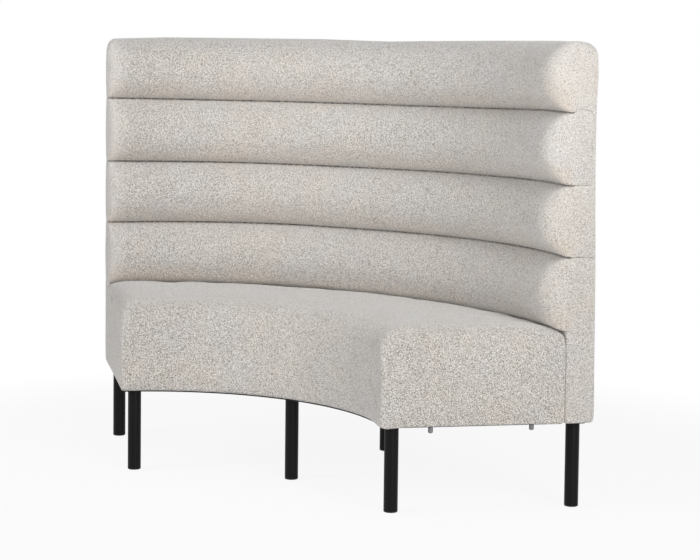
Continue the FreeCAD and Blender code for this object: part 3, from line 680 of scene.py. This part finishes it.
def roll_rows():
    """The front of the back from its foot to halfway up the top bend, with the heights of its seams: a straight
    foot behind the seat, three arcs over the channels, and the top channel's arc and bend. A narrow groove is
    drawn in at each seam."""
    s = shape()
    half, lip = s.roll_pitch / 2, s.seam_width / 2
    bend = (half**2 + s.roll_crown**2) / (s.roll_crown * 2)
    middle = s.seam_radius - s.roll_crown
    reach = math.degrees(math.asin(half / bend))
    squeeze = (half - lip) / half
    lowest = s.height - s.roll_pitch * 4
    seams = [lowest + s.roll_pitch * place for place in range(4)]
    foot = s.seam_radius + s.foot_setback
    points = [line((foot, s.underside), (foot, lowest - 0.008), 9)]
    for seam in seams:
        lowermost, topmost = seam == seams[0], seam == seams[-1]
        groove = np.array([(s.seam_radius, seam - lip), (s.seam_radius + s.seam_depth, seam)])
        points.append(groove[1:] if lowermost else groove)
        turn = np.radians(np.linspace(-reach, 0 if topmost else reach, 20))
        turn = turn[::2] if topmost else turn[:-1]
        up = seam + half + bend * np.sin(turn) * squeeze
        bulge = s.foot_bulge * np.exp(-(((up - lowest - 0.013) / 0.018) ** 2)) if lowermost else 0
        points.append(np.stack([middle + bend * (1 - np.cos(turn)) - bulge, up], 1))
    points.append(arc(middle + s.top_bend, s.height - s.top_bend, s.top_bend, 0, 45, 8))
    return np.concatenate(points), seams


def back_section():
    """The back's outline: the rows of the channels in front, the top's bend and its elliptical rear shoulder, and
    a straight rear, which the shoulder and the hem draw in by one less the root of one less their share squared.
    Returns it with the heights of the seams."""
    s = shape()
    front, seams = roll_rows()
    wide, high = 0.045, 0.036
    start = s.outer_radius - wide
    top_front = s.seam_radius - s.roll_crown + s.top_bend
    top = spread(
        chain(
            arc(top_front, s.height - s.top_bend, s.top_bend, 45, 90, 20),
            line((top_front, s.height), (start, s.height), 4),
            arc(start, s.height - high, (wide, high), 90, 135, 12),
        ),
        13,
    )
    hem = s.hem_bend
    foot = arc(s.outer_radius - hem, s.underside + hem, hem, 270, 225, 5)
    bottom = spread(chain(line(front[0], foot[0], 6), foot), 13)
    knots = (front[0, 1], 0.30, s.height - s.top_bend, front[-1, 1])
    rear_up = np.interp(front[:, 1], knots, (bottom[-1, 1], *knots[1:3], top[-1, 1]))
    lift = part(rear_up - (s.height - high), high)
    drop = part(s.underside + hem - rear_up, hem)
    rear_out = s.outer_radius - wide * (1 - np.sqrt(1 - lift**2)) - hem * (1 - np.sqrt(1 - drop**2))
    rear = np.stack([rear_out, rear_up], 1)
    rear[0], rear[-1] = bottom[-1], top[-1]
    centre = (s.seam_radius + s.outer_radius) / 2

    def inward(points):
        """Level at the front and rear, and down near the top and up near the foot."""
        across, up = points.T
        at_rear = across > centre
        over = np.where(at_rear, part(up - (s.height - high), high), part(up - (s.height - s.top_bend), s.top_bend))
        angle = (over - part(s.underside + 0.02 - up, 0.02)) * np.pi / 2
        return np.stack([np.where(at_rear, -1.0, 1.0) * np.cos(angle), -np.sin(angle)], 1)

    def bend(points):
        """Wider over the channels and the top, narrow at the seams and the rear."""
        across, up = points.T
        stand = part(s.seam_radius - across, s.roll_crown)
        at_foot = part(seams[0] - up, 0.03)
        front_bend = 0.012 + (s.crest_bend - 0.012) * stand**0.8 - 0.008 * at_foot
        over = part(up - (s.height - 0.09), 0.06)
        rear_bend = 0.010 + 0.012 * over - 0.004 * part(s.underside + 0.03 - up, 0.03)
        return np.where(across > centre, rear_bend, np.maximum(front_bend, over * rear_bend))

    return Section(front, top, rear, bottom, inward, bend), seams


class BENCH_OT_back(bpy.types.Operator):
    """Make the channelled front of the back, with its top and soft ends"""

    bl_idname = "bench.back"
    bl_label = "Back upholstery"

    def execute(self, context):
        s = shape()
        section, seams = back_section()
        seam_rows = [int(np.abs(section.sides(section.points)[0][:, 1] - seam).argmin()) for seam in seams]

        def swell(patch, back, up):
            """The end face is crowned over each channel by a power of two sines, and nipped along each seam."""
            crown, nipped = 0.004, 0.0025
            height = patch[..., 1]
            over = np.abs(np.sin(np.pi * np.clip((height - seams[0]) / s.roll_pitch, 0, 4))) ** 0.5
            over = np.where(height < seams[0], 0.6, over)
            nip = np.zeros_like(back)
            nip[seam_rows[1:]] = nipped
            return np.sin(np.pi * back) ** 0.6 * crown * over - nip * np.clip(1.35 - back * 0.5, 0, 1)

        points, faces, grid, caps = padded_form(section, (0.0, 0.006, 0.014, 0.024, 0.040, 0.060), 120, swell, 7)
        # The window for the rear cover is let in, with a margin to the ends and to the top
        end_margin, top_margin = 0.0215, 0.038
        radius, turn = polar(points)
        behind = (radius > s.outer_radius - 0.004) & (points[:, 2] < s.height - top_margin)
        behind &= inside_end(radius, turn) > end_margin
        level = np.where(behind, (radius - REAR_COVER_THICKNESS) / radius, 1.0)
        points[:, 0] *= level
        points[:, 1] = (points[:, 1] + setback()) * level - setback()
        points[:, 2] += wander(points)
        piece = new_piece("back_upholstery", lean(points), faces)
        mesh = piece.data
        points = read_points(mesh)
        radius, turn = polar(points)
        fade = 0.02
        seam_set = np.zeros(len(points), bool)
        for row in seam_rows:
            seam_set[grid[:, row - 1 : row + 2]] = True
        seam_set[radius > s.seam_radius + fade] = False
        front_zone = part(s.seam_radius + fade - radius, fade)
        shown = front_zone * (points[:, 2] > seams[0] - fade)
        free = part(np.min([np.abs(points[:, 2] - seam) for seam in seams], axis=0), fade) * shown
        waves = ripple(points, 0.16, 3) * 0.0011 + ripple(points * (1, 1, 0.35), 0.05, 5) * 0.0005
        points += read_points(mesh, "normal") * (waves * free)[:, None]
        # The channels flatten a little towards the ends, the top one most
        depth = inside_end(radius, turn)
        top_flat, other_flat, flat_reach = 0.010, 0.004, 0.05
        stand = part(s.seam_radius - radius, s.roll_crown)
        flatten = np.where(points[:, 2] > seams[3], top_flat, other_flat) * stand
        points[:, :2] += (flatten * np.exp(-((depth / flat_reach) ** 2)))[:, None] * outward(turn)
        write_points(mesh, points)
        # Marks for painted shade in the seams: the upper seams' rows, their lines across the end faces, and the front
        # edge of each end face below the lowest seam
        thread = np.zeros(len(points))
        for row in seam_rows[1:]:
            thread[grid[:, row - 1 : row + 2]] = (0.8, 1.0, 0.8)
            for cap in caps:
                thread[cap[row, 1:-1]] = 1.0
        for cap in caps:
            thread[cap[2 : seam_rows[0], 0]] = 0.7
        mark(mesh, "seam", thread)
        unevenly = 0.85 + 0.15 * np.sin(5 * turn)
        mark(mesh, "pulled", np.clip(depth / 0.05 - 0.2, 0, 1) * front_zone * unevenly)
        # Painted warm shade in the hollow above each seam, fading out over 60 mm above it
        level = points[:, 2] - wander(points)
        over_seam = np.min([np.where(level > seam - 0.004, level - seam, 1.0) for seam in seams], axis=0)
        mark(mesh, "painted_warm_shade", np.clip(1 - over_seam / 0.06, 0, 1) * front_zone)
        settle(piece, (shown <= 0.5) | seam_set, pressure=3.0, slack=0.006, reach=0.003)
        crease(mesh, seam_set, 0.9)
        subdivide(piece)
        pads = [f"back_channel_pad_{name}" for name in ("top", "upper", "lower", "bottom")]
        wadding = ("back_top_foam", "back_end_wadding_left", "back_end_wadding_right")
        dress(piece, "back cover", "cover", "back_front_cover", *wadding, *pads)
        return {"FINISHED"}


class BENCH_OT_rear(bpy.types.Operator):
    """Make the plain padded panel behind the back"""

    bl_idname = "bench.rear"
    bl_label = "Rear cover"

    def execute(self, context):
        s = shape()
        soft, rows = 0.004, 72
        low, high = s.underside + 0.002, s.height - 0.0365
        inner, outer = s.outer_radius - REAR_COVER_THICKNESS, s.outer_radius + 0.0004
        front, rear = (line((across, low + soft), (across, high - soft), rows) for across in (inner, outer))
        top, bottom = (
            chain(
                arc(inner + soft, level, soft, 0, quarter, 5),
                arc(outer - soft, level, soft, quarter, quarter * 2, 5),
            )
            for level, quarter in ((high - soft, 90), (low + soft, -90))
        )

        def inward(points):
            """Towards the middle of the panel's thickness, and at its top and foot also of its height."""
            middle = np.array([(inner + outer) / 2, (low + high) / 2])
            span = np.array([(outer - inner) / 2 + 1e-4, (high - low) / 2 - soft])
            away = (points - middle) / span
            return -np.stack([np.sign(away[:, 0]), np.where(np.abs(away[:, 1]) > 1, np.sign(away[:, 1]), 0)], 1)

        section = Section(front, top, rear, bottom, inward, lambda points: np.full(len(points), soft))
        points, faces, *_ = padded_form(section, (0.0, 0.004, 0.012), 100, lambda patch, back, up: back * 0)
        # The panel stops a little inside each end, and is not quite even
        end_gap, uneven = 0.0185, 0.0006
        radius, turn = polar(points)
        half = s.sweep / 2
        turn *= (half - math.asin(end_gap / s.outer_radius)) / half
        points = bench_points(radius, turn, points[:, 2])
        points[:, :2] += ripple(points, 0.22, 11)[:, None] * uneven * outward(turn)
        points[:, 2] += wander(points)
        piece = new_piece("back_rear_upholstery", lean(points), faces)
        dress(piece, "rear cover", "cover", "back_rear_cover", "back_rear_wadding")
        return {"FINISHED"}


# The seat


def seat_section():
    """The seat's outline: straight at the front, rear and foot, with arcs at the hem, the front edge and the rear
    shoulder. The top between the arcs is a line plus a crown of 4 times its height times t (1 - t)."""
    s = shape()
    tilt, crown_height = 4, 0.0068
    level = math.cos(math.radians(tilt))
    front_bend, rear_bend = s.seat_front_bend, s.seat_rear_bend
    rear_at = s.seam_radius + s.foot_setback - 0.0003
    front_centre = s.seat_height - front_bend * level
    rear_centre = s.seat_height - s.seat_rear_drop - rear_bend * level
    hem = s.hem_bend
    corner, under = (arc(s.front_radius + hem, s.underside + hem, hem, -45, turn, 4) for turn in (0, -90))
    edge = (s.front_radius + front_bend, front_centre, front_bend)
    shoulder = (rear_at - rear_bend, rear_centre, rear_bend)
    front = chain(corner, line(corner[-1], (s.front_radius, front_centre), 15), arc(*edge, 0, 45, 5))
    ahead, behind = arc(*edge, 45, 90 - tilt, 12), arc(*shoulder, 90 + tilt, 135, 10)
    crown = line(ahead[-1], behind[0], 60)
    share = np.linspace(0, 1, 60)
    crown[:, 1] += 4 * crown_height * share * (1 - share)
    top = spread(chain(ahead, crown, behind), 40)
    rear = chain(line((rear_at, s.underside), (rear_at, rear_centre), len(front) - 4), arc(*shoulder, 180, 135, 5))
    bottom = spread(chain(under, line(under[-1], (rear_at, s.underside), 40)), 40)

    def inward(points):
        """Level at the front and rear, down over the shoulders and up at the hem."""
        across, up = points.T
        at_rear = across > (s.front_radius + rear_at) / 2
        over = np.where(at_rear, part(up - rear_centre, rear_bend), part(up - front_centre, front_bend))
        lift = part(s.underside + hem - up, hem) - over
        ahead = part(s.front_radius + front_bend - across, front_bend)
        behind = part(across - rear_at + rear_bend, rear_bend)
        flat = np.where(np.abs(lift) > 0.999, 0, np.where(at_rear, -behind, ahead))
        return np.stack([np.where(np.abs(flat) + np.abs(lift) < 0.01, 1.0, flat), lift], 1)

    def bend(points):
        """Wider over the front edge, narrower at the hem, and tight at the rear shoulder and behind it."""
        across, up = points.T
        over = part(up - front_centre + 0.01, front_bend)
        beside = (across > 0.99) * part(rear_centre - up, 0.02)
        at_hem = part(s.underside + 0.05 - up, 0.05)
        round_end = s.end_bend * (0.85 + 1.9 * over**0.8 - 0.45 * at_hem)
        tight = part(across - rear_at + 0.20, 0.18)
        tight = tight * tight * (3 - 2 * tight)
        round_end += (np.minimum(round_end, 0.9 * rear_bend) - round_end) * tight
        return round_end * (1 - beside) + 0.004 * beside

    return Section(front, top, rear, bottom, inward, bend)


class BENCH_OT_seat(bpy.types.Operator):
    """Make the crowned seat with its soft front and ends"""

    bl_idname = "bench.seat"
    bl_label = "Seat upholstery"

    def execute(self, context):
        s = shape()
        section = seat_section()

        def swell(patch, back, up):
            """The end face is crowned by the product of two sines."""
            return 0.004 * np.sin(np.pi * back) * np.sin(np.pi * up)

        points, faces, *_ = padded_form(section, (0.0, 0.012, 0.030), 116, swell)
        piece = new_piece("seat_upholstery", points, faces)
        mesh = piece.data
        points = read_points(mesh)
        radius = polar(points)[0]
        above = part(points[:, 2] - s.underside - 0.02, 0.03)
        ahead = part(s.seam_radius - radius, 0.02)
        waves = ripple(points, 0.30, 21) * 0.0020 + ripple(points, 0.09, 22) * 0.0008
        points += read_points(mesh, "normal") * (waves * above * ahead)[:, None]
        turn = polar(points)[1]
        # The rear shoulder is pushed about where it meets the back, and stands higher towards the left
        shoulder = part(radius - s.seam_radius + 0.05, 0.04) * (points[:, 2] > s.seat_height - 0.03)
        higher, pushed = 0.007 * part(np.degrees(-turn) - 18, 24), 0.0022
        points[:, 2] += (ripple(points, 0.12, 23) * pushed + higher) * shoulder
        # The rear of the seat follows its wandering line, and is worn lower at the ends
        end_drop, drop_reach = 0.010, 0.04
        behind = part(radius - s.seam_radius + 0.14, 0.12) ** 1.5
        depth = inside_end(radius, turn)
        worn = end_drop * np.clip(1 - depth / drop_reach, 0, 1) ** 2
        points[:, 2] += (wander(points) - worn) * behind * part(points[:, 2] - s.seat_height + 0.07, 0.04)
        # The front swells a little before each end, and the cover hangs lower at the right corner
        swelling, hang = 0.004, 0.0055
        forward = part(s.front_radius + 0.06 - radius, 0.05)
        swollen = swelling * forward * np.exp(-(((depth - 0.11) / 0.06) ** 2)) * above
        points[:, :2] -= swollen[:, None] * outward(turn)
        hanging = hang * np.exp(-(((np.degrees(turn) - 42) / 4.5) ** 2)) * part(0.27 - points[:, 2], 0.05)
        points[:, 2] -= hanging * forward
        write_points(mesh, points)
        settle(piece, (above <= 0.01) | (ahead <= 0.01), pressure=3.0, slack=0.005, reach=0.004)
        subdivide(piece)
        nodes = ("seat_cover", "seat_foam", "seat_front_wadding", "seat_end_wadding_left", "seat_end_wadding_right")
        dress(piece, "cover", "cover", *nodes)
        return {"FINISHED"}


# Below


def arc_sheet(name, inner, outer, height, inset):
    """A thin level sheet between two radii, which stops at an inset from each end plane."""
    rows, columns = 14, 72
    along = np.linspace(-1, 1, columns)[None]
    radius = inner + (outer - inner) * np.linspace(0, 1, rows)[:, None] + 0 * along
    turn = along * (shape().sweep / 2 - np.arcsin(inset / radius))
    index = np.arange(rows * columns).reshape(rows, columns)
    piece = new_piece(name, bench_points(radius, turn, height).reshape(-1, 3), quads(index))
    wall = piece.modifiers.new("thickness", "SOLIDIFY")
    wall.thickness = 0.0008
    wall.offset = 0
    return piece


def staple_rows(level):
    """Staple crowns round the linings: small bars, evenly along four arcs and laid along them. Returns the
    points and the faces."""
    s = shape()
    pitch, margin = 0.045, 0.025
    size = (0.011, 0.0009, 0.0006)
    bar = np.array([(x, y, z) for x in (-0.5, 0.5) for y in (-0.5, 0.5) for z in (-0.5, 0.5)]) * size
    sides = np.array([(0, 1, 3, 2), (4, 6, 7, 5), (0, 4, 5, 1), (2, 3, 7, 6), (0, 2, 6, 4), (1, 5, 7, 3)])
    points = []
    for radius in (s.front_radius + 0.017, s.seam_radius - 0.010, s.seam_radius + 0.022, s.outer_radius - 0.022):
        turns = np.linspace(-1, 1, int(radius * s.sweep / pitch)) * (s.sweep / 2 - margin)
        turn = turns[:, None] + bar[:, 0] / radius
        points.append(bench_points(radius + bar[:, 1] + 0 * turn, turn, level + bar[:, 2] + 0 * turn))
    points = np.concatenate(points)
    return points.reshape(-1, 3), (np.arange(len(points))[:, None, None] * len(bar) + sides).reshape(-1, 4)


class BENCH_OT_linings(bpy.types.Operator):
    """Stretch the thin black cloth under the seat and the back, with its staples"""

    bl_idname = "bench.linings"
    bl_label = "Linings"

    def execute(self, context):
        s = shape()
        level, seat_edges, back_edge = s.underside - 0.0007, (0.0095, 0.0026), 0.0178
        inner, outer = s.front_radius + seat_edges[0], s.seam_radius - seat_edges[1]
        seat = arc_sheet("seat_underlining", inner, outer, level, 0.006)
        dress(seat, "lining", "lining", "seat_lining")
        inner, outer = s.seam_radius + back_edge, s.outer_radius - back_edge
        back = arc_sheet("back_underlining", inner, outer, level, 0.004)
        dress(back, "lining", "lining", "back_lining")
        staples = new_piece("lining_staples", *staple_rows(level - 0.0009), smooth=False)
        dress(staples, "fixings", "fixings")
        return {"FINISHED"}


def lathe(profile, centres, steps):
    """Turned pieces at several places: each point of a profile of radius and height runs round each centre."""
    turn = np.linspace(0, 2 * np.pi, steps, endpoint=False)
    radius, height = np.asarray(profile).T
    ring = np.stack(
        [radius[:, None] * np.cos(turn), radius[:, None] * np.sin(turn), height[:, None] + 0 * turn], -1
    )
    count = len(radius) * steps
    faces = quads(np.arange(count).reshape(-1, steps), True)
    points = [ring.reshape(-1, 3) + (x, y, 0) for x, y in centres]
    return np.concatenate(points), np.concatenate([faces + count * number for number in range(len(centres))])


class BENCH_OT_feet(bpy.types.Operator):
    """Make the rounded glides in the feet of the legs"""

    bl_idname = "bench.feet"
    bl_label = "Feet"

    def execute(self, context):
        names = [f"glide_{row}_{side}" for row in ("front", "rear") for side in ("left", "middle", "right")]
        boxes = [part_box(name) for name in names]
        centres = [((low[0] + high[0]) / 2, (low[1] + high[1]) / 2) for low, high in boxes]
        axis, wide, rim = 0.00001, 0.0175, 0.0025
        edge = arc(wide - rim, rim, rim, -90, -180, 7).tolist()
        plug = [(wide, 0.0030), (0.0152, 0.0031), (0.0152, 0.0165), (0.0140, 0.0170), (axis, 0.0170)]
        points, faces = lathe([(axis, 0.0), (0.008, 0.0), *edge, *plug], centres, 40)
        piece = new_piece("foot_glides", points, faces)
        dress(piece, "glides", "glides", *names)
        return {"FINISHED"}


# The finish of a node by the first of these words that is in its name
NODE_FINISHES = {
    "fixings": ("insert", "bolt"),
    "legs": ("leg_front", "leg_rear"),
    "pins": ("link_pins",),
    "glides": ("glide",),
    "lining": ("lining",),
    "cover": ("cover", "foam", "pad", "wadding"),
    "plywood": ("",),
}


class BENCH_OT_finishes(bpy.types.Operator):
    """Give the frame, legs, pins and fixings their finishes"""

    bl_idname = "bench.finishes"
    bl_label = "Finishes"

    def execute(self, context):
        for name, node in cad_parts.items():
            kind = next(kind for kind, words in NODE_FINISHES.items() if any(word in name for word in words))
            node.data.materials.clear()
            node.data.materials.append(finish_named(kind))
        return {"FINISHED"}


# The studio


def lamp(name, place, target, power):
    """A round lamp two metres wide, turned to its target."""
    data = bpy.data.lights.new(name, "AREA")
    data.shape = "DISK"
    data.size = 2.0
    data.energy = power
    light = bpy.data.objects.new(name, data)
    light.location = place
    light.rotation_euler = (Vector(target) - Vector(place)).to_track_quat("-Z", "Y").to_euler()
    bpy.context.collection.objects.link(light)


def studio_camera():
    """The camera at the photograph's place: yaw, pitch and roll in degrees, and a shift for its framing as a
    share of the picture's width."""
    place, turns, shift = (3.03023, -4.46172, 1.1730), (34.368, 4.191, 0.622), (30 / 700, -100 / 700)
    yaw, pitch, roll = map(math.radians, turns)
    turned = Matrix.Rotation(yaw, 4, "Z") @ Matrix.Rotation(math.pi / 2 - pitch, 4, "X")
    data = bpy.data.cameras.new("studio camera")
    data.lens = bpy.context.scene.bench_studio.lens
    data.sensor_width = 36
    data.shift_x, data.shift_y = shift
    data.clip_end = 100
    camera = bpy.data.objects.new("studio camera", data)
    camera.matrix_world = Matrix.Translation(place) @ turned @ Matrix.Rotation(roll, 4, "Z")
    bpy.context.collection.objects.link(camera)
    bpy.context.scene.camera = camera


def white_world(strength):
    """Even light all round, which the camera, gloss and glass see as plain white."""
    world = bpy.data.worlds.new("white surround")
    bpy.context.scene.world = world
    n = Nodes(world)
    even, plain = (
        n.node("ShaderNodeBackground", {}, {"Color": (1, 1, 1), "Strength": value}).outputs[0]
        for value in (strength, 1.0)
    )
    mixed = n.node("ShaderNodeMixShader", {}, {0: n.plain_rays(), 1: even, 2: plain})
    n.node("ShaderNodeOutputWorld", {}, {"Surface": mixed.outputs[0]})


def studio_floor():
    """A pale floor that keeps the bench's shadow near it and fades to plain white further out."""
    points, faces = lathe([(radius, -0.0005) for radius in (1e-5, 1.0, 2.0, 4.0, 9.0)], [(0, 0)], 64)
    floor = new_piece("studio_floor", points, faces)
    r = Recipe("pale floor", (0.8, 0.8, 0.8), 0.9)
    x, y = r.along(0), r.along(1)
    away = r.ramp(x * x + y * y, 1.0, 3.2)
    white = r.node("ShaderNodeEmission", {}, {"Color": (1, 1, 1), "Strength": 1.0}).outputs[0]
    share = (0.9 + 0.1 * away) * r.plain_rays()
    mixed = r.node("ShaderNodeMixShader", {}, {0: share, 1: r.surface.outputs["BSDF"], 2: white})
    r.set(r.output, {"Surface": mixed.outputs[0]})
    floor.data.materials.append(r.material)


class BENCH_OT_stage(bpy.types.Operator):
    """Set the camera, the lights and the pale floor"""

    bl_idname = "bench.stage"
    bl_label = "Studio"

    def execute(self, context):
        studio = context.scene.bench_studio
        context.scene.view_settings.view_transform = "Standard"
        studio_camera()
        white_world(studio.surround)
        lamp("front light", (-3.0, -4.5, 2.6), (0, 0, 0.6), studio.front_power)
        lamp("side light", (5.0, -3.0, 1.0), (0, 0, 0.7), studio.side_power)
        lamp("top light", (3.2, -1.4, 2.6), (0.3, 0, 0.8), studio.top_power)
        studio_floor()
        return {"FINISHED"}


MAKERS = (
    BENCH_OT_stage,
    BENCH_OT_finishes,
    BENCH_OT_back,
    BENCH_OT_rear,
    BENCH_OT_seat,
    BENCH_OT_linings,
    BENCH_OT_feet,
)


class BENCH_PT_panel(bpy.types.Panel):
    """The bench's sizes, finishes and makers"""

    bl_label = "Banquette bench"
    bl_idname = "BENCH_PT_panel"
    bl_space_type = "VIEW_3D"
    bl_region_type = "UI"
    bl_category = "Bench"

    def draw(self, context):
        for group in (context.scene.bench_shape, context.scene.bench_finish, context.scene.bench_studio):
            box = self.layout.box()
            for name in group.__annotations__:
                box.prop(group, name)
        for maker in MAKERS:
            self.layout.operator(maker.bl_idname)


GROUPS = {"bench_shape": BenchShape, "bench_finish": BenchFinish, "bench_studio": BenchStudio}


def register():
    for kind in (*GROUPS.values(), *MAKERS, BENCH_PT_panel):
        bpy.utils.register_class(kind)
    for name, kind in GROUPS.items():
        setattr(bpy.types.Scene, name, PointerProperty(type=kind))


def unregister():
    for name in GROUPS:
        delattr(bpy.types.Scene, name)
    for kind in reversed((*GROUPS.values(), *MAKERS, BENCH_PT_panel)):
        bpy.utils.unregister_class(kind)


def main():
    register()
    for maker in MAKERS:
        category, name = maker.bl_idname.split(".")
        getattr(getattr(bpy.ops, category), name)()


if __name__ == "__main__":
    main()
